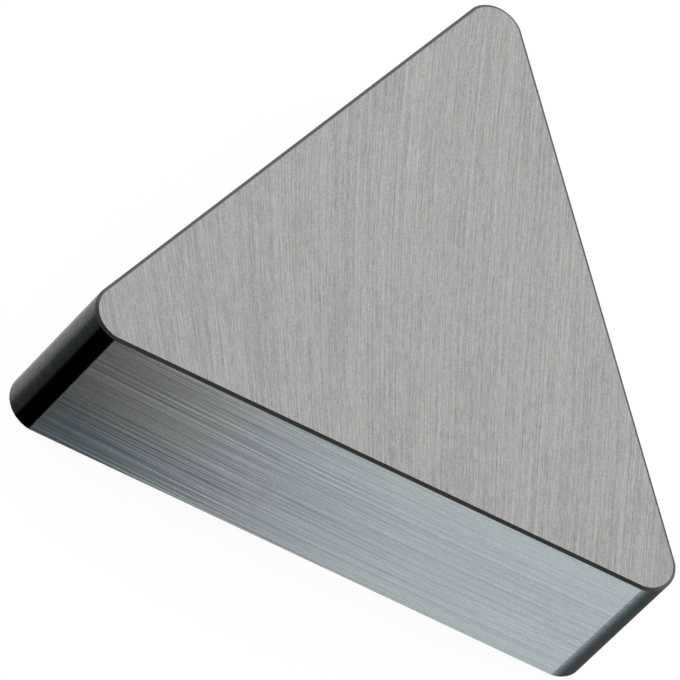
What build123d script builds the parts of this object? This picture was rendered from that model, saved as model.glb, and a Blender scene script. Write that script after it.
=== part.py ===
from build123d import *
import os

# Triangular turning insert: one solid of cemented carbide, ground on both faces and on all three flanks.
#
# The outline is an equilateral triangle with a round nose at each corner. The flanks stand square to the
# faces, so the insert can be turned over and used on both sides. A narrow land bevels the whole rim of
# each face, along the straight edges and round the noses, and guards the cutting edge. The insert has no
# hole and no chip breaker: a clamp in the toolholder presses on its flat top face.
#
# Frame: the insert lies on its seat face. The origin is at the centre of the inscribed circle on that
# face, +Z points up to the top face, the front flank faces -Y and the nose opposite it points to +Y.

# Driving dimensions, in millimetres and degrees
inscribed_circle = 9.525  # diameter of the circle that touches the three flanks, 3/8 inch
thickness = 4.7625  # seat face to top face, 3/16 inch
nose_radius = 0.794  # 1/32 inch
land_width = 0.08  # each land, measured across the face that it bevels
land_angle = 30  # slope of each land below its face

# The corner count is what makes the insert a triangle, and the rear nose points along +Y
corner_count = 3
rear_nose_direction = 90

with BuildPart() as insert:
    # Outline: the flanks touch the inscribed circle, and each corner is rounded to the nose radius
    with BuildSketch(Plane.XY) as outline:
        RegularPolygon(
            radius=inscribed_circle / 2,
            side_count=corner_count,
            major_radius=False,
            rotation=rear_nose_direction,
        )
        fillet(outline.vertices(), radius=nose_radius)
    extrude(amount=thickness)

    # Lands: one bevel round the rim of the seat face, and one round the rim of the top face
    for face_position in (0, -1):
        ground_face = insert.faces().sort_by(Axis.Z)[face_position]
        chamfer(ground_face.edges(), length=land_width, angle=land_angle, reference=ground_face)

insert.part.label = "insert"

os.makedirs("parts", exist_ok=True)
export_step(insert.part, "parts/insert.step")
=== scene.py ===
"""Dresses and lights a triangular carbide turning insert, ground on its faces and flanks.

The insert is one closed mesh in metres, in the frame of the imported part: it lies on its seat face, with +Z
up, the front flank facing -Y and the nose opposite it pointing to +Y. Its four finishes are the ground faces,
the ground flanks, the smooth noses and the narrow lands round both rims. Lengths inside materials are in
millimetres.
"""

from __future__ import annotations

import logging
import math
from dataclasses import dataclass
from enum import Enum

import bmesh
import bpy
from mathutils import Matrix, Vector

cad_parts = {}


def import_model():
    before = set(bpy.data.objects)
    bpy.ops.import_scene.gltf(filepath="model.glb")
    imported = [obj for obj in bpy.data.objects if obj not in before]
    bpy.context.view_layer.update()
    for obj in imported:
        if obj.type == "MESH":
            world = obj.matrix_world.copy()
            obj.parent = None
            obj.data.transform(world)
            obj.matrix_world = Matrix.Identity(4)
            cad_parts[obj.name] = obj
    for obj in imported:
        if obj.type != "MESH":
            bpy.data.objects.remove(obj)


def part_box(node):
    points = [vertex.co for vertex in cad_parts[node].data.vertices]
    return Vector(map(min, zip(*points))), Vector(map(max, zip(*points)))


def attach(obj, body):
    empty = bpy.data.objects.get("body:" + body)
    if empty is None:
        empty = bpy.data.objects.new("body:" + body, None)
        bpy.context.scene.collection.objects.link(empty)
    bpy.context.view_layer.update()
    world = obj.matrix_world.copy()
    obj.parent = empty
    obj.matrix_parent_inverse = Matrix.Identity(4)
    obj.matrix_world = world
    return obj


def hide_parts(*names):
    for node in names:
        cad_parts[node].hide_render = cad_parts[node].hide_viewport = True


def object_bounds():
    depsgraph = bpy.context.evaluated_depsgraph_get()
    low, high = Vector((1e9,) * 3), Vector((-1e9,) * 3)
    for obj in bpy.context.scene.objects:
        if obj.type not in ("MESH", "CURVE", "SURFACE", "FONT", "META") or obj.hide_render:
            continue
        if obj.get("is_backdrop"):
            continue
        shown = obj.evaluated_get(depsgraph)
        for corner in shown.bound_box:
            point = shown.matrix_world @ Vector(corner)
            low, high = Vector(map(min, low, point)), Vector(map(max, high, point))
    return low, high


log = logging.getLogger("insert_scene")

MM = 0.001
CAD_NODE = "insert"
BODY = "root"

LAY_MAP = "lay"
# Each flank's stretch of the lay map starts this far after the last one's, so that no two flanks look alike
FLANK_PITCH_MM = 40.0

Rgb = tuple[float, float, float]
Value = float | bpy.types.NodeSocket
CARBIDE_GREY: Rgb = (0.40, 0.40, 0.39)


class Finish(Enum):
    """The finishes of the insert. The value is the material index on its mesh."""

    GROUND_FACE = 0
    FLANK = 1
    NOSE = 2
    LAND = 3


# ---------------------------------------------------------------------------------------------- node building


class Wiring:
    """Adds nodes to one tree and joins them, so that a network reads like a formula."""

    def __init__(self, tree: bpy.types.NodeTree) -> None:
        """Starts on a tree, which keeps what it holds.

        Args:
            tree: the node tree that the nodes go into.
        """
        self.tree = tree

    def node(self, kind: str, **settings: object) -> bpy.types.Node:
        """Adds one node.

        Args:
            kind: the node's class name, without its ShaderNode prefix.
            settings: properties to set on the node.

        Returns:
            The new node.
        """
        made = self.tree.nodes.new(kind if kind.startswith("Node") else f"ShaderNode{kind}")
        for name, value in settings.items():
            setattr(made, name, value)
        return made

    def feed(self, socket: bpy.types.NodeSocket, value: object) -> None:
        """Links a socket to an output, or sets its own value.

        Args:
            socket: the input socket.
            value: an output socket, or the constant that the input holds.
        """
        if isinstance(value, bpy.types.NodeSocket):
            self.tree.links.new(value, socket)
        else:
            socket.default_value = value

    def math(self, operation: str, first: Value, second: Value = 0.0) -> bpy.types.NodeSocket:
        """Adds a Math node of two inputs.

        Args:
            operation: the node's operation, such as MULTIPLY.
            first: the first input.
            second: the second input.

        Returns:
            The result socket.
        """
        made = self.node("Math", operation=operation)
        self.feed(made.inputs[0], first)
        self.feed(made.inputs[1], second)
        return made.outputs[0]

    def weighted_sum(self, terms: list[tuple[Value, Value]], start: Value = 0.0) -> bpy.types.NodeSocket:
        """Adds up values, each times its weight.

        Args:
            terms: pairs of a value and its weight.
            start: what the sum starts from.

        Returns:
            The socket of the sum.
        """
        total = start
        for value, weight in terms:
            step = self.node("Math", operation="MULTIPLY_ADD")
            for socket, number in zip(step.inputs, (value, weight, total)):
                self.feed(socket, number)
            total = step.outputs[0]
        return total

    def ramp(
        self, value: Value, low: float, high: float, start: float = 0.0, end: float = 1.0
    ) -> bpy.types.NodeSocket:
        """Adds a smooth step between two values.

        Args:
            value: the input.
            low: where the step starts.
            high: where the step ends.
            start: the result before the step.
            end: the result after it.

        Returns:
            The result socket.
        """
        made = self.node("MapRange", interpolation_type="SMOOTHSTEP")
        for name, number in (("From Min", low), ("From Max", high), ("To Min", start), ("To Max", end)):
            made.inputs[name].default_value = number
        self.feed(made.inputs["Value"], value)
        return made.outputs["Result"]

    def mix(self, factor: Value, first: object, second: object, colour: bool = False) -> bpy.types.NodeSocket:
        """Mixes two values or two colours.

        Args:
            factor: how much of the second one shows.
            first: the first one.
            second: the second one.
            colour: whether they are colours.

        Returns:
            The mixed result's socket.
        """
        made = self.node("Mix", data_type="RGBA" if colour else "FLOAT")
        for socket, value in zip([s for s in made.inputs if s.enabled], (factor, first, second)):
            self.feed(socket, value)
        return next(s for s in made.outputs if s.enabled)


class GroupWiring(Wiring):
    """The wiring of a shader node group, with its two end nodes."""

    def __init__(
        self, name: str, inputs: dict[str, float], outputs: list[str], vectors: tuple[str, ...] = ()
    ) -> None:
        """Starts a group with its sockets.

        Args:
            name: the group's name.
            inputs: each number input's name and starting value.
            outputs: the names of the outputs, which are all numbers.
            vectors: the names of vector inputs, which come before the others.
        """
        group = bpy.data.node_groups.new(name, "ShaderNodeTree")
        for title in vectors:
            group.interface.new_socket(title, in_out="INPUT", socket_type="NodeSocketVector")
        for title, value in inputs.items():
            number = group.interface.new_socket(title, in_out="INPUT", socket_type="NodeSocketFloat")
            number.default_value = value
        for title in outputs:
            group.interface.new_socket(title, in_out="OUTPUT", socket_type="NodeSocketFloat")
        super().__init__(group)
        self.given = self.node("NodeGroupInput").outputs
        self.result = self.node("NodeGroupOutput").inputs


class MetalWiring(Wiring):
    """The wiring of one metal material, round its one shader."""

    def __init__(self, name: str, roughness: float, anisotropic: float = 0.0) -> None:
        """Starts the material in plain carbide.

        Args:
            name: the material's name.
            roughness: the shader's roughness, where nothing varies it.
            anisotropic: how far the gloss is drawn out across the lay.
        """
        self.material = bpy.data.materials.new(name)
        self.material.use_nodes = True
        self.material.node_tree.nodes.clear()
        super().__init__(self.material.node_tree)
        self.shader = self.node("BsdfPrincipled")
        self.feed(self.node("OutputMaterial").inputs["Surface"], self.shader.outputs[0])
        self.set("Base Color", (*CARBIDE_GREY, 1.0))
        self.set("Metallic", 1.0)
        self.set("Roughness", roughness)
        self.set("Anisotropic", anisotropic)
        if anisotropic:
            self.set("Tangent", self.node("Tangent", direction_type="UV_MAP", uv_map=LAY_MAP).outputs[0])

    def set(self, name: str, value: object) -> None:
        """Sets or links one of the shader's inputs.

        Args:
            name: the input's name.
            value: an output socket, or the constant that the input holds.
        """
        self.feed(self.shader.inputs[name], value)

    def colour(self, gain: Value, warmth: Value = 0.0, grey: Rgb = CARBIDE_GREY) -> None:
        """Colours the metal by its grey, times a gain, and leaned towards straw or teal.

        Args:
            gain: what the grey is multiplied by.
            warmth: how far red rises, as a share. Blue falls by less than half of that.
            grey: the metal's own colour.
        """
        red, green, blue = grey
        blue_share = 0.4
        tint = self.node("CombineXYZ")
        self.feed(tint.inputs["X"], self.weighted_sum([(warmth, red)], red))
        self.feed(tint.inputs["Y"], green)
        self.feed(tint.inputs["Z"], self.weighted_sum([(warmth, -blue_share * blue)], blue))
        scaled = self.node("VectorMath", operation="SCALE")
        self.feed(scaled.inputs[0], tint.outputs[0])
        self.feed(scaled.inputs["Scale"], gain)
        self.set("Base Color", scaled.outputs[0])


# ------------------------------------------------------------------------------------------- shared effects


@dataclass(frozen=True)
class ScratchLayer:
    """One family of grinding scratches: how wide and long they are, how much they weigh, and their seed.

    The last number is where along the lay one of the noise's cells starts.
    """

    width_mm: float
    length_mm: float
    weight: float
    seed: float
    start_mm: float = 0.0


class SharedEffects:
    """The node groups that more than one finish uses, each built once."""

    def __init__(self) -> None:
        """Builds every group."""
        self.scratches = self._scratches()
        self.face_lay = self._face_lay()
        self.flank_lay = self._flank_lay()

    @staticmethod
    def _scratches() -> bpy.types.NodeTree:
        """Builds the scratch group: noise drawn out along the lay, centred on 0.

        Returns:
            The group's node tree.
        """
        start = {"Across": 0.0, "Along": 0.0, "Start": 0.0, "Width": 0.05, "Length": 1.0, "Seed": 0.0}
        w = GroupWiring("grinding_scratches", start, ["Level"])
        spot = w.node("CombineXYZ")
        w.feed(spot.inputs["X"], w.math("DIVIDE", w.given["Across"], w.given["Width"]))
        along = w.math("SUBTRACT", w.given["Along"], w.given["Start"])
        w.feed(spot.inputs["Y"], w.math("DIVIDE", along, w.given["Length"]))
        w.feed(spot.inputs["Z"], w.given["Seed"])
        noise = w.node("TexNoise", noise_dimensions="3D")
        w.feed(noise.inputs["Vector"], spot.outputs[0])
        w.feed(noise.inputs["Scale"], 1.0)
        w.feed(noise.inputs["Detail"], 0.0)
        w.feed(w.result["Level"], w.math("SUBTRACT", noise.outputs["Fac"], 0.5))
        return w.tree

    @staticmethod
    def _face_lay() -> bpy.types.NodeTree:
        """Builds the lay of a ground face: shallow arcs, left by the rim of a large cup wheel.

        The arcs lean, bow, and fan out towards the front left corner.

        Returns:
            The group's node tree, from a place in metres to millimetres across and along the lay.
        """
        lean, fan, bow = 0.2, -0.0142, -0.0073
        flare, squeeze, ease = 0.0015, 0.0017, 0.00024
        w = GroupWiring("face_lay", {}, ["Across", "Along", "Depth"], vectors=("Place",))
        place = w.node("SeparateXYZ")
        w.feed(place.inputs[0], w.given["Place"])
        x, y, z = (w.math("DIVIDE", place.outputs[axis], MM) for axis in "XYZ")
        xy, yy = w.math("MULTIPLY", x, y), w.math("MULTIPLY", y, y)
        bends = [(y, lean), (xy, fan), (yy, bow)]
        cubes = ((x, xy, flare), (y, xy, squeeze), (y, yy, ease))
        bends += [(w.math("MULTIPLY", a, b), weight) for a, b, weight in cubes]
        across = w.weighted_sum(bends, x)
        w.feed(w.result["Across"], across)
        w.feed(w.result["Along"], w.weighted_sum([(x, -lean)], y))
        w.feed(w.result["Depth"], z)
        return w.tree

    @staticmethod
    def _flank_lay() -> bpy.types.NodeTree:
        """Builds the lay of a flank: long streaks that run from nose to nose with a slight bow.

        Returns:
            The group's node tree, from the lay map's millimetres to millimetres across and along the lay.
        """
        bow, lean = 0.0029, -0.0087
        w = GroupWiring("flank_lay", {}, ["Across", "Along", "Rise", "Middle"], vectors=("Place",))
        place = w.node("SeparateXYZ")
        w.feed(place.inputs[0], w.given["Place"])
        rise, run = place.outputs["X"], place.outputs["Y"]
        # The bow is counted from the middle of whichever flank the place is on
        middle = w.node("Math", operation="WRAP")
        for socket, number in zip(middle.inputs, (run, FLANK_PITCH_MM / 2, -FLANK_PITCH_MM / 2)):
            w.feed(socket, number)
        from_middle = middle.outputs[0]
        sag = w.weighted_sum([(w.math("MULTIPLY", from_middle, from_middle), bow), (from_middle, lean)])
        w.feed(w.result["Across"], w.math("SUBTRACT", rise, sag))
        w.feed(w.result["Along"], run)
        w.feed(w.result["Rise"], rise)
        w.feed(w.result["Middle"], from_middle)
        return w.tree


def scratch_field(
    wiring: Wiring,
    effects: SharedEffects,
    lay: bpy.types.Node,
    layers: tuple[ScratchLayer, ...],
    seed: Value = 0.0,
) -> bpy.types.NodeSocket:
    """Lays several families of scratches over each other.

    Args:
        wiring: the material's wiring.
        effects: the shared node groups.
        lay: the group node that gives Across and Along.
        layers: the families of scratches.
        seed: what is added to each family's own seed.

    Returns:
        The socket of their weighted sum, centred on 0.
    """
    terms = []
    for layer in layers:
        group = wiring.node("Group", node_tree=effects.scratches)
        wiring.feed(group.inputs["Across"], lay.outputs["Across"])
        wiring.feed(group.inputs["Along"], lay.outputs["Along"])
        wiring.feed(group.inputs["Start"], layer.start_mm)
        wiring.feed(group.inputs["Width"], layer.width_mm)
        wiring.feed(group.inputs["Length"], layer.length_mm)
        wiring.feed(group.inputs["Seed"], wiring.math("ADD", seed, layer.seed))
        terms.append((group.outputs["Level"], layer.weight))
    return wiring.weighted_sum(terms)


def leaned_normal(wiring: Wiring, lean: Value) -> bpy.types.NodeSocket:
    """Leans an upright surface a little along its lay map's V, which runs round the insert.

    Args:
        wiring: the material's wiring.
        lean: how far it leans, as a slope.

    Returns:
        The leaned normal's socket.
    """
    neutral = 0.5
    packed = wiring.node("CombineXYZ")
    for axis, value in (("X", neutral), ("Y", wiring.weighted_sum([(lean, neutral)], neutral)), ("Z", 1.0)):
        wiring.feed(packed.inputs[axis], value)
    normal = wiring.node("NormalMap", space="TANGENT", uv_map=LAY_MAP)
    wiring.feed(normal.inputs["Color"], packed.outputs[0])
    return normal.outputs[0]


# ------------------------------------------------------------------------------------------------- finishes


@dataclass(frozen=True)
class GroundFaceFinish:
    """The seat and top faces: fine scratches in shallow arcs that cross the whole face."""

    roughness: float = 0.34
    anisotropic: float = 0.8
    contrast: float = 0.93
    # Brighter scratches are rougher too, by this share of their level
    scratch_roughness: float = 0.1
    # Painted shade: the face is a little darker towards one corner, between these two lines in millimetres,
    # and the lines lean across the lay by this slope
    painted_shade_run: tuple[float, float] = (-6.5, 3.0)
    painted_shade_lean: float = 0.4
    painted_shade_depth: float = 0.065
    layers: tuple[ScratchLayer, ...] = (
        ScratchLayer(0.030, 12.0, 0.45, 1.0),
        ScratchLayer(0.028, 1.6, 0.40, 12.0),
        ScratchLayer(0.027, 0.3, 0.42, 23.0),
        ScratchLayer(0.026, 0.06, 0.50, 57.0),
        ScratchLayer(0.6, 9.0, 0.10, 34.0),
    )

    def build(self, effects: SharedEffects) -> bpy.types.Material:
        """Makes the material.

        Args:
            effects: the shared node groups.

        Returns:
            The material.
        """
        w = MetalWiring("ground_face", self.roughness, self.anisotropic)
        lay = w.node("Group", node_tree=effects.face_lay)
        w.feed(lay.inputs["Place"], w.node("TexCoord").outputs["Object"])
        field = scratch_field(w, effects, lay, self.layers, lay.outputs["Depth"])
        # Painted shade, which darkens the face towards one corner
        corner = w.weighted_sum([(lay.outputs["Across"], self.painted_shade_lean)], lay.outputs["Along"])
        painted_shade = w.ramp(corner, *self.painted_shade_run, -self.painted_shade_depth, 0.0)
        w.colour(w.math("ADD", w.weighted_sum([(field, self.contrast)], 1.0), painted_shade))
        w.set("Roughness", w.weighted_sum([(field, self.scratch_roughness)], self.roughness))
        return w.material


@dataclass(frozen=True)
class FlankFinish:
    """The three flanks: long streaks from nose to nose, on a face that the wheel left with a slight twist."""

    roughness: float = 0.14
    anisotropic: float = 0.9
    contrast: float = 0.41
    streak_tilt: float = 0.0105
    # The wheel bit deepest midway in its stroke, so the streaks swell and fade over these runs in millimetres
    swell_run: tuple[float, float] = (-7.0, -2.4)
    swell: tuple[float, float] = (0.62, 1.46)
    fade_run: tuple[float, float] = (-2.0, 3.4)
    fade: tuple[float, float] = (1.0, 0.55)
    # The twist leans the face by this slope for each millimetre of rise, down to where it ends
    twist_per_mm: float = 0.0007
    twist_end: float = -0.9
    # Just above the lower land the face leans back by this slope, over these rises in millimetres
    foot_rise: tuple[float, float] = (-1.8, -1.0)
    foot_lean: float = 0.001
    # Painted shade darkens the flank's last sliver below the upper land, between these two rises in
    # millimetres
    sliver_shade_rise: tuple[float, float] = (2.310, 2.320)
    sliver_shade_level: float = 0.25
    # Painted reflection colour at one end: straw above and blue below, over these runs and rises in
    # millimetres
    painted_reflection_run: tuple[float, float] = (-7.2, -2.2)
    painted_reflection_rise: tuple[float, float] = (-1.9, 0.6)
    painted_reflection_tint: tuple[float, float] = (-0.105, 0.06)
    # How far single streaks lean towards straw or blue, and how much more of that there is at that end
    specks: float = 0.045
    more_specks: float = 0.11
    layers: tuple[ScratchLayer, ...] = (
        ScratchLayer(0.085, 18.0, 0.60, 8.0, -2.6),
        ScratchLayer(0.040, 14.0, 0.80, 14.0, -0.9),
        ScratchLayer(0.038, 2.5, 0.55, 31.0, 0.9),
    )
    grain_layers: tuple[ScratchLayer, ...] = (
        ScratchLayer(0.034, 0.4, 0.60, 25.0, 0.15),
        ScratchLayer(0.030, 0.08, 0.80, 67.0, 0.03),
    )
    speck_layers: tuple[ScratchLayer, ...] = (ScratchLayer(0.12, 12.0, 1.0, 41.0),)

    def build(self, effects: SharedEffects) -> bpy.types.Material:
        """Makes the material.

        Args:
            effects: the shared node groups.

        Returns:
            The material.
        """
        w = MetalWiring("ground_flank", self.roughness, self.anisotropic)
        lay = w.node("Group", node_tree=effects.flank_lay)
        w.feed(lay.inputs["Place"], w.node("UVMap", uv_map=LAY_MAP).outputs["UV"])
        middle = lay.outputs["Middle"]
        swelling = w.ramp(middle, *self.swell_run, *self.swell)
        bite = w.math("MULTIPLY", swelling, w.ramp(middle, *self.fade_run, *self.fade))
        streaks = w.math("MULTIPLY", scratch_field(w, effects, lay, self.layers), bite)
        grain = scratch_field(w, effects, lay, self.grain_layers)
        near_end = w.ramp(middle, *self.painted_reflection_run, 1.0, 0.0)
        # Painted reflection colour near one end: straw above and blue below
        painted_reflection_tint = w.math("MULTIPLY", near_end, w.ramp(lay.outputs["Rise"], *self.painted_reflection_rise, *self.painted_reflection_tint))
        specks = scratch_field(w, effects, lay, self.speck_layers)
        specks = w.math("MULTIPLY", specks, w.weighted_sum([(near_end, self.more_specks)], self.specks))
        # Painted shade on the flank's last sliver below the upper land
        sliver_shade = w.ramp(lay.outputs["Rise"], *self.sliver_shade_rise, 1.0, self.sliver_shade_level)
        marks = w.weighted_sum([(streaks, self.contrast), (grain, self.contrast)], 1.0)
        gain = w.math("MULTIPLY", marks, sliver_shade)
        w.colour(gain, w.math("ADD", painted_reflection_tint, specks))
        twisted = w.math("MAXIMUM", lay.outputs["Rise"], self.twist_end)
        foot = w.ramp(lay.outputs["Rise"], *self.foot_rise, self.foot_lean, 0.0)
        lean = w.weighted_sum([(streaks, self.streak_tilt), (twisted, self.twist_per_mm)], foot)
        w.set("Normal", leaned_normal(w, lean))
        return w.material


@dataclass(frozen=True)
class NoseFinish:
    """The noses: nearly polished carbide, with fine marks that run round them."""

    roughness: float = 0.07
    contrast: float = 1.2
    streak_tilt: float = 0.006
    layers: tuple[ScratchLayer, ...] = (
        ScratchLayer(0.055, 0.4, 0.5, 5.0),
        ScratchLayer(0.045, 0.12, 0.5, 16.0),
        ScratchLayer(0.04, 0.05, 0.5, 27.0),
    )

    def build(self, effects: SharedEffects) -> bpy.types.Material:
        """Makes the material.

        Args:
            effects: the shared node groups.

        Returns:
            The material.
        """
        w = MetalWiring("smooth_nose", self.roughness)
        lay = w.node("Group", node_tree=effects.flank_lay)
        w.feed(lay.inputs["Place"], w.node("UVMap", uv_map=LAY_MAP).outputs["UV"])
        field = scratch_field(w, effects, lay, self.layers)
        w.colour(w.weighted_sum([(field, self.contrast)], 1.0))
        w.set("Normal", leaned_normal(w, w.math("MULTIPLY", field, self.streak_tilt)))
        return w.material


@dataclass(frozen=True)
class LandFinish:
    """The narrow lands round both rims, in a darker grey than the faces that they join, which is painted
    shade.
    """

    roughness: float = 0.2
    grey: Rgb = (0.13, 0.13, 0.13)

    def build(self, effects: SharedEffects) -> bpy.types.Material:
        """Makes the material.

        Args:
            effects: the shared node groups, not used.

        Returns:
            The material.
        """
        w = MetalWiring("rim_land", self.roughness)
        # The darker grey is painted shade
        w.set("Base Color", (*self.grey, 1.0))
        return w.material


# ------------------------------------------------------------------------------------------------ the insert


@dataclass
class InsertBody:
    """The insert's one solid. Lengths are in metres."""

    inradius: float
    thickness: float
    nose_radius: float = 0.794 * MM
    land_width: float = 0.08 * MM
    land_angle: float = math.radians(30)
    corner_count: int = 3
    rear_nose_direction: float = math.radians(90)
    # Each flank is ground flat this far past where it would run tangent into the nose
    flat_overrun: float = math.radians(6.5)
    nose_steps: int = 48

    @classmethod
    def from_frame(cls, node: str) -> InsertBody:
        """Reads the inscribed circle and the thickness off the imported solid.

        Args:
            node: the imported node's name.

        Returns:
            The body, with its seat at the height of the node's.
        """
        low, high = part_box(node)
        return cls(inradius=-low.y, thickness=high.z - low.z)

    @property
    def land_depth(self) -> float:
        """How far a land reaches down the flank."""
        return self.land_width * math.tan(self.land_angle)

    @property
    def nose_centre_distance(self) -> float:
        """From the insert's axis to a nose's axis."""
        return (self.inradius - self.nose_radius) / math.cos(math.pi / self.corner_count)

    def build(self) -> bpy.types.Object:
        """Models the insert: its outline, its wall and the land round each rim.

        Returns:
            The object, with an empty set of materials.
        """
        bm = bmesh.new()
        outline = self._outline(bm)
        self._raise_wall(bm, outline)
        for upwards in (True, False):
            self._land(bm, upwards)
        bmesh.ops.recalc_face_normals(bm, faces=bm.faces[:])
        self._sort_finishes(bm)
        self._map_lay(bm)
        mesh = bpy.data.meshes.new("carbide_insert")
        bm.to_mesh(mesh)
        bm.free()
        piece = bpy.data.objects.new("carbide_insert", mesh)
        bpy.context.scene.collection.objects.link(piece)
        return piece

    def _outline(self, bm: bmesh.types.BMesh) -> bmesh.types.BMFace:
        """Spins the noses and joins them by the flanks' straight lines, at the foot of the wall.

        Args:
            bm: the mesh under work.

        Returns:
            The face that the outline bounds.
        """
        turn = math.tau / self.corner_count
        sweep = turn - 2 * self.flat_overrun
        ends = []
        for corner in range(self.corner_count):
            facing = self.rear_nose_direction + corner * turn
            centre = Vector((math.cos(facing), math.sin(facing), 0.0)) * self.nose_centre_distance
            centre.z = self.land_depth
            start = facing - sweep / 2
            rim = centre + Vector((math.cos(start), math.sin(start), 0.0)) * self.nose_radius
            first = bm.verts.new(rim)
            arc = bmesh.ops.spin(
                bm, geom=[first], cent=centre, axis=(0, 0, 1), angle=sweep, steps=self.nose_steps
            )
            last = next(item for item in arc["geom_last"] if isinstance(item, bmesh.types.BMVert))
            ends.append((first, last))
        for corner, (_, last) in enumerate(ends):
            bm.edges.new((last, ends[(corner + 1) % self.corner_count][0]))
        return bmesh.ops.contextual_create(bm, geom=bm.edges[:])["faces"][0]

    def _raise_wall(self, bm: bmesh.types.BMesh, outline: bmesh.types.BMFace) -> None:
        """Extrudes the outline from the lower land's edge to the upper land's edge.

        Args:
            bm: the mesh under work.
            outline: the face at the foot of the wall.
        """
        raised = bmesh.ops.extrude_face_region(bm, geom=[outline])["geom"]
        corners = [item for item in raised if isinstance(item, bmesh.types.BMVert)]
        bmesh.ops.translate(bm, verts=corners, vec=(0, 0, self.thickness - 2 * self.land_depth))

    def _land(self, bm: bmesh.types.BMesh, upwards: bool) -> None:
        """Insets an end face by the land's width and lifts it by the land's depth.

        Args:
            bm: the mesh under work.
            upwards: whether it is the top face, and not the seat face.
        """
        bmesh.ops.recalc_face_normals(bm, faces=bm.faces[:])
        pick = max if upwards else min
        end = pick(bm.faces, key=lambda face: face.calc_center_median().z)
        bmesh.ops.inset_region(
            bm, faces=[end], thickness=self.land_width, depth=self.land_depth, use_even_offset=True
        )

    def _sort_finishes(self, bm: bmesh.types.BMesh) -> None:
        """Gives each face its finish, from the way it faces, and shades the noses smooth.

        Args:
            bm: the mesh under work.
        """
        upright, tilted = 0.1, 0.999
        for face in bm.faces:
            steepness = abs(face.normal.z)
            straight = max(edge.calc_length() for edge in face.edges) > self.thickness
            if steepness > tilted:
                finish = Finish.GROUND_FACE
            elif steepness > upright:
                finish = Finish.LAND
            else:
                finish = Finish.FLANK if straight else Finish.NOSE
            face.material_index = finish.value
            face.smooth = not straight
        for edge in bm.edges:
            if len({face.material_index for face in edge.link_faces}) > 1:
                edge.smooth = False

    def _map_lay(self, bm: bmesh.types.BMesh) -> None:
        """Writes the UV map of the lay, in millimetres: U across the scratches and V along them.

        Off the ground faces, U counts from the middle of the height. V counts from the middle of a flank's
        run, and goes on round the nose that follows it.

        Args:
            bm: the mesh under work.
        """
        layer = bm.loops.layers.uv.new(LAY_MAP)
        for face in bm.faces:
            if face.material_index == Finish.GROUND_FACE.value:
                for loop in face.loops:
                    loop[layer].uv = loop.vert.co.xy / MM
                continue
            way = math.atan2(face.normal.y, face.normal.x)
            for loop in face.loops:
                place = loop.vert.co
                rise = place.z - self.thickness / 2
                loop[layer].uv = (rise / MM, self._run(place, way) / MM)

    def _run(self, place: Vector, way: float) -> float:
        """Measures how far round the insert a place on its wall is.

        Args:
            place: the place.
            way: the direction that its face looks in.

        Returns:
            The run from the middle of the flank that the place is on, or that leads up to its nose.
        """
        turn = math.tau / self.corner_count
        flat_end = self.flat_overrun
        first_flank = self.rear_nose_direction + math.pi
        flank = math.floor((way - first_flank + flat_end) / turn) % self.corner_count
        outward = first_flank + flank * turn
        start = flank * FLANK_PITCH_MM * MM
        past_flat = (way - outward + math.pi) % math.tau - math.pi
        along = Vector((-math.sin(outward), math.cos(outward), 0.0))
        if past_flat < flat_end:
            return start + place.dot(along)
        facing = outward + turn / 2
        centre = Vector((math.cos(facing), math.sin(facing), 0.0)) * self.nose_centre_distance
        arm = place.xy - centre.xy
        swept = (math.atan2(arm.y, arm.x) - outward + math.pi) % math.tau - math.pi
        return start + centre.dot(along) + self.nose_radius * swept


def dress(piece: bpy.types.Object, effects: SharedEffects) -> None:
    """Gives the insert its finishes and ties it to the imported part.

    Args:
        piece: the insert's object.
        effects: the shared node groups.
    """
    finishes = {
        Finish.GROUND_FACE: GroundFaceFinish(),
        Finish.FLANK: FlankFinish(),
        Finish.NOSE: NoseFinish(),
        Finish.LAND: LandFinish(),
    }
    for finish in Finish:
        piece.data.materials.append(finishes[finish].build(effects))
    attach(piece, BODY)
    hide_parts(CAD_NODE)


# ---------------------------------------------------------------------------------------------- the studio


@dataclass(frozen=True)
class StudioCamera:
    """A long lens above the front left, turned so that the insert stands on its left nose."""

    azimuth: float = -24.338
    elevation: float = 51.472
    roll: float = 44.906
    distance: float = 339.34 * MM
    aim_right: float = -0.900 * MM
    aim_up: float = 0.147 * MM
    lens_mm: float = 768.0
    sensor_mm: float = 36.0
    nearest: float = 0.01
    farthest: float = 10.0

    def build(self, centre: Vector) -> bpy.types.Object:
        """Adds the camera and makes it the scene's.

        Args:
            centre: the middle of the insert.

        Returns:
            The camera's object.
        """
        data = bpy.data.cameras.new("studio_camera")
        data.lens = self.lens_mm
        data.sensor_width = self.sensor_mm
        data.clip_start = self.nearest
        data.clip_end = self.farthest
        camera = bpy.data.objects.new("studio_camera", data)
        bpy.context.scene.collection.objects.link(camera)
        turn, rise = math.radians(self.azimuth), math.radians(self.elevation)
        back = Vector((math.sin(turn) * math.cos(rise), -math.cos(turn) * math.cos(rise), math.sin(rise)))
        level = back.to_track_quat("Z", "Y").to_matrix()
        facing = level @ Matrix.Rotation(math.radians(self.roll), 3, "Z")
        aim = centre + facing @ Vector((self.aim_right, self.aim_up, 0.0))
        camera.matrix_world = Matrix.Translation(aim + back * self.distance) @ facing.to_4x4()
        bpy.context.scene.camera = camera
        return camera


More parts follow.
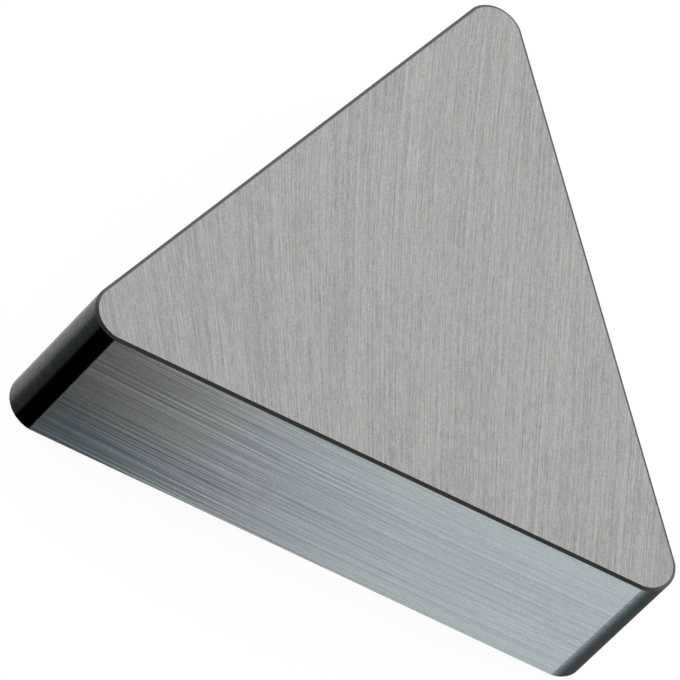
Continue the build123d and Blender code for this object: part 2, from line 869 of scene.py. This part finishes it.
@dataclass(frozen=True)
class Floor:
    """A plain white floor that takes the insert's faint, soft shadow.

    Part of its white is its own colour under the lamps, which the shadow darkens, and the rest is white that
    only the camera sees.
    """

    radius: float = 0.6
    segments: int = 96
    gap: float = 0.01 * MM
    lit_share: float = 0.10
    glow: float = 0.93

    def build(self, seat_height: float) -> bpy.types.Object:
        """Adds the floor just under the seat.

        Args:
            seat_height: the height that the insert rests at.

        Returns:
            The floor's object.
        """
        bm = bmesh.new()
        height = Matrix.Translation((0, 0, seat_height - self.gap))
        bmesh.ops.create_circle(
            bm, cap_ends=True, segments=self.segments, radius=self.radius, matrix=height
        )
        mesh = bpy.data.meshes.new("studio_floor")
        bm.to_mesh(mesh)
        bm.free()
        mesh.materials.append(self._material())
        floor = bpy.data.objects.new("studio_floor", mesh)
        bpy.context.scene.collection.objects.link(floor)
        floor.visible_glossy = False
        floor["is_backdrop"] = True
        return floor

    def _material(self) -> bpy.types.Material:
        """Makes the floor's material.

        Returns:
            The material.
        """
        material = bpy.data.materials.new("studio_floor")
        material.use_nodes = True
        material.node_tree.nodes.clear()
        w = Wiring(material.node_tree)
        matt = w.node("BsdfDiffuse")
        w.feed(matt.inputs["Color"], (self.lit_share, self.lit_share, self.lit_share, 1.0))
        glow = w.node("Emission")
        seen = w.node("LightPath").outputs["Is Camera Ray"]
        w.feed(glow.inputs["Strength"], w.math("MULTIPLY", seen, self.glow))
        both = w.node("AddShader")
        w.feed(both.inputs[0], matt.outputs[0])
        w.feed(both.inputs[1], glow.outputs[0])
        w.feed(w.node("OutputMaterial").inputs["Surface"], both.outputs[0])
        return material


@dataclass(frozen=True)
class Surroundings:
    """The studio round the insert: white walls under a darker ceiling, a soft box, and flags low down.

    All that is seen only by the metal. The flags stand where the insert's upright faces look when it is seen
    from above, and give its noses their dark stripes. Everything else is lit by a plain white dome.
    """

    dome: float = 0.75
    # Brightness round the lower half of the studio, by direction in degrees from +X towards +Y
    ring: tuple[tuple[float, float], ...] = (
        (0, 0.085), (20, 0.08), (34, 0.07), (40, 0.12), (46, 0.22), (58, 0.33), (72, 0.38), (90, 0.385),
        (105, 0.335), (121, 0.275), (137, 0.257), (153, 0.18), (161, 0.145), (169, 0.07), (185, 0.048),
        (206, 0.035), (216, 0.0), (270, 0.0), (276, 1.0), (302, 1.0), (310, 0.64), (316, 0.44), (322, 0.34),
        (328, 0.24), (334, 0.175), (346, 0.10), (360, 0.085),
    )
    ring_gain: float = 1.14
    # The front card counts past this share of a turn. Its left end is made of steps in brightness, each with
    # the two parts along +X that it runs between and what it adds. The first two are a dim strip beyond it
    card_side: float = 0.7
    card_steps: tuple[tuple[float, float, float], ...] = (
        (0.068, 0.076, 0.17), (0.15, 0.25, -0.17), (0.2402, 0.2650, 0.979), (0.27, 0.293, 0.053),
    )
    # How far the ring's white leans to the cool colour, round the same way
    coolness: tuple[tuple[float, float], ...] = (
        (0, 0.15), (10, 0.0), (160, 0.0), (176, 0.25), (186, 0.7), (216, 0.8), (270, 0.46), (300, 0.46),
        (310, 0.6), (318, 0.9), (326, 1.0), (340, 0.9), (348, 0.6), (360, 0.15),
    )
    cool: Rgb = (0.765, 0.988, 1.10)
    # The card is white at its end and turns cool over these parts along +X
    cool_edge: tuple[float, float] = (0.236, 0.266)
    # Only what is low is cool, from the first of these heights on the unit sphere down to the second
    cool_depth: tuple[float, float] = (-0.3, -0.6)
    # The ring's flags end a little below the horizon, over these two heights on the unit sphere
    ring_top: tuple[float, float] = (-0.68, -0.48)
    # How bright the flags are where they are seen from the side, near the horizon
    skyline: float = 0.48
    # The flags give way to the walls over these two heights on the unit sphere
    horizon: tuple[float, float] = (-0.1, 0.35)
    # The walls darken into the ceiling over these two heights on the unit sphere
    ceiling_edge: tuple[float, float] = (0.1, 1.08)
    ceiling: float = 0.11
    box_azimuth: float = 65.0
    box_elevation: float = 50.0
    box_edge: tuple[float, float] = (0.55, 0.90)
    box_level: float = 1.06

    def build(self) -> None:
        """Makes the scene's world."""
        world = bpy.data.worlds.new("studio")
        world.use_nodes = True
        world.node_tree.nodes.clear()
        bpy.context.scene.world = world
        w = Wiring(world.node_tree)
        direction = w.node("TexCoord").outputs["Generated"]
        parts = w.node("SeparateXYZ")
        w.feed(parts.inputs[0], direction)
        x, y, z = (parts.outputs[axis] for axis in "XYZ")

        turn = w.math("FRACT", w.math("DIVIDE", w.math("ARCTAN2", y, x), math.tau))
        front_right = w.math("GREATER_THAN", turn, self.card_side)
        around = w.math("MULTIPLY", self._curve(w, turn, self.ring), self.ring_gain)
        ring = w.math("MULTIPLY", around, w.mix(front_right, 1.0, self._card_edge(w, x)))
        skyline = w.weighted_sum([(ring, 1.0 - self.skyline)], self.skyline)
        above = w.mix(w.ramp(z, *self.horizon), skyline, self._upper(w, direction, z))
        level = w.mix(w.ramp(z, *self.ring_top), ring, above)

        cool_edge = w.mix(front_right, 1.0, w.ramp(x, *self.cool_edge))
        coolness = w.math("MULTIPLY", self._curve(w, turn, self.coolness), cool_edge)
        low = w.math("MULTIPLY", coolness, w.ramp(z, *self.cool_depth))
        tint = w.mix(low, (1, 1, 1, 1), (*self.cool, 1.0), colour=True)
        studio = w.node("Background")
        w.feed(studio.inputs["Color"], tint)
        w.feed(studio.inputs["Strength"], level)
        dome = w.node("Background")
        w.feed(dome.inputs["Color"], (1, 1, 1, 1))
        path = w.node("LightPath")
        seen = w.math("MAXIMUM", path.outputs["Is Camera Ray"], path.outputs["Is Transmission Ray"])
        w.feed(dome.inputs["Strength"], w.weighted_sum([(seen, 1.0 - self.dome)], self.dome))
        pick = w.node("MixShader")
        w.feed(pick.inputs[0], path.outputs["Is Glossy Ray"])
        w.feed(pick.inputs[1], dome.outputs[0])
        w.feed(pick.inputs[2], studio.outputs[0])
        w.feed(w.node("OutputWorld").inputs["Surface"], pick.outputs[0])

    @staticmethod
    def _curve(
        w: Wiring, turn: bpy.types.NodeSocket, stops: tuple[tuple[float, float], ...]
    ) -> bpy.types.NodeSocket:
        """Makes a value that changes round the studio in straight lines between its stops.

        Args:
            w: the world's wiring.
            turn: the direction as a share of a full turn.
            stops: pairs of a direction in degrees and the value there.

        Returns:
            The value's socket.
        """
        sides = w.node("FloatCurve")
        curve = sides.mapping.curves[0]
        spots = [(degrees / 360.0, value) for degrees, value in stops]
        curve.points[0].location = spots[0]
        curve.points[1].location = spots[-1]
        for spot in spots[1:-1]:
            curve.points.new(*spot)
        for point in curve.points:
            point.handle_type = "VECTOR"
        sides.mapping.update()
        w.feed(sides.inputs["Value"], turn)
        return sides.outputs["Value"]

    def _card_edge(self, w: Wiring, x: bpy.types.NodeSocket) -> Value:
        """Ends the front card on its left, with a dim strip beyond the end.

        Args:
            w: the world's wiring.
            x: the direction's part along +X.

        Returns:
            The socket of what the ring is multiplied by.
        """
        level = 0.0
        for start, end, rise in self.card_steps:
            level = w.math("ADD", level, w.ramp(x, start, end, 0.0, rise))
        return level

    def _upper(
        self, w: Wiring, direction: bpy.types.NodeSocket, z: bpy.types.NodeSocket
    ) -> bpy.types.NodeSocket:
        """Makes the brightness above the ring: walls that darken into the ceiling, and the soft box.

        Args:
            w: the world's wiring.
            direction: the direction's socket.
            z: the direction's part along +Z.

        Returns:
            The brightness's socket.
        """
        room = w.ramp(z, *self.ceiling_edge, 1.0, self.ceiling)
        box = w.ramp(self._toward(w, direction, self.box_azimuth, self.box_elevation), *self.box_edge)
        return w.mix(box, room, self.box_level)

    @staticmethod
    def _toward(
        w: Wiring, direction: bpy.types.NodeSocket, azimuth: float, elevation: float
    ) -> bpy.types.NodeSocket:
        """Measures how far the direction points one way.

        Args:
            w: the world's wiring.
            direction: the direction's socket.
            azimuth: that way, in degrees from +X towards +Y.
            elevation: its height, in degrees.

        Returns:
            The socket of the angle's cosine.
        """
        turn, rise = math.radians(azimuth), math.radians(elevation)
        level = math.cos(rise)
        made = w.node("VectorMath", operation="DOT_PRODUCT")
        w.feed(made.inputs[0], direction)
        w.feed(made.inputs[1], (level * math.cos(turn), level * math.sin(turn), math.sin(rise)))
        return made.outputs["Value"]


@dataclass(frozen=True)
class SoftLamp:
    """A broad, soft key light from behind the insert, which gives the floor its faint shadow."""

    share: float = 0.25
    spread: float = math.radians(70)
    # Tipped and leaned from straight down, it shines from behind and a little from the right
    tip: float = math.radians(-35)
    lean: float = math.radians(20)

    def build(self) -> None:
        """Adds the lamp."""
        data = bpy.data.lights.new("soft_key", "SUN")
        data.energy = self.share * math.pi
        data.angle = self.spread
        lamp = bpy.data.objects.new("soft_key", data)
        bpy.context.scene.collection.objects.link(lamp)
        lamp.rotation_euler = (self.tip, self.lean, 0.0)
        lamp.visible_glossy = False


def main() -> None:
    """Loads the frame, builds the insert and sets up the studio."""
    logging.basicConfig(level=logging.INFO, format="%(name)s: %(message)s")
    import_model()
    cad_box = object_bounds()

    effects = SharedEffects()
    body = InsertBody.from_frame(CAD_NODE)
    piece = body.build()
    dress(piece, effects)
    log.info("%s: %d faces, %d finishes", piece.name, len(piece.data.polygons), len(piece.data.materials))

    low, high = cad_box
    centre = Vector((0.0, 0.0, (low.z + high.z) / 2))
    StudioCamera().build(centre)
    Floor().build(low.z)
    Surroundings().build()
    SoftLamp().build()
    bpy.context.scene.view_settings.view_transform = "Standard"


if __name__ == "__main__":
    main()
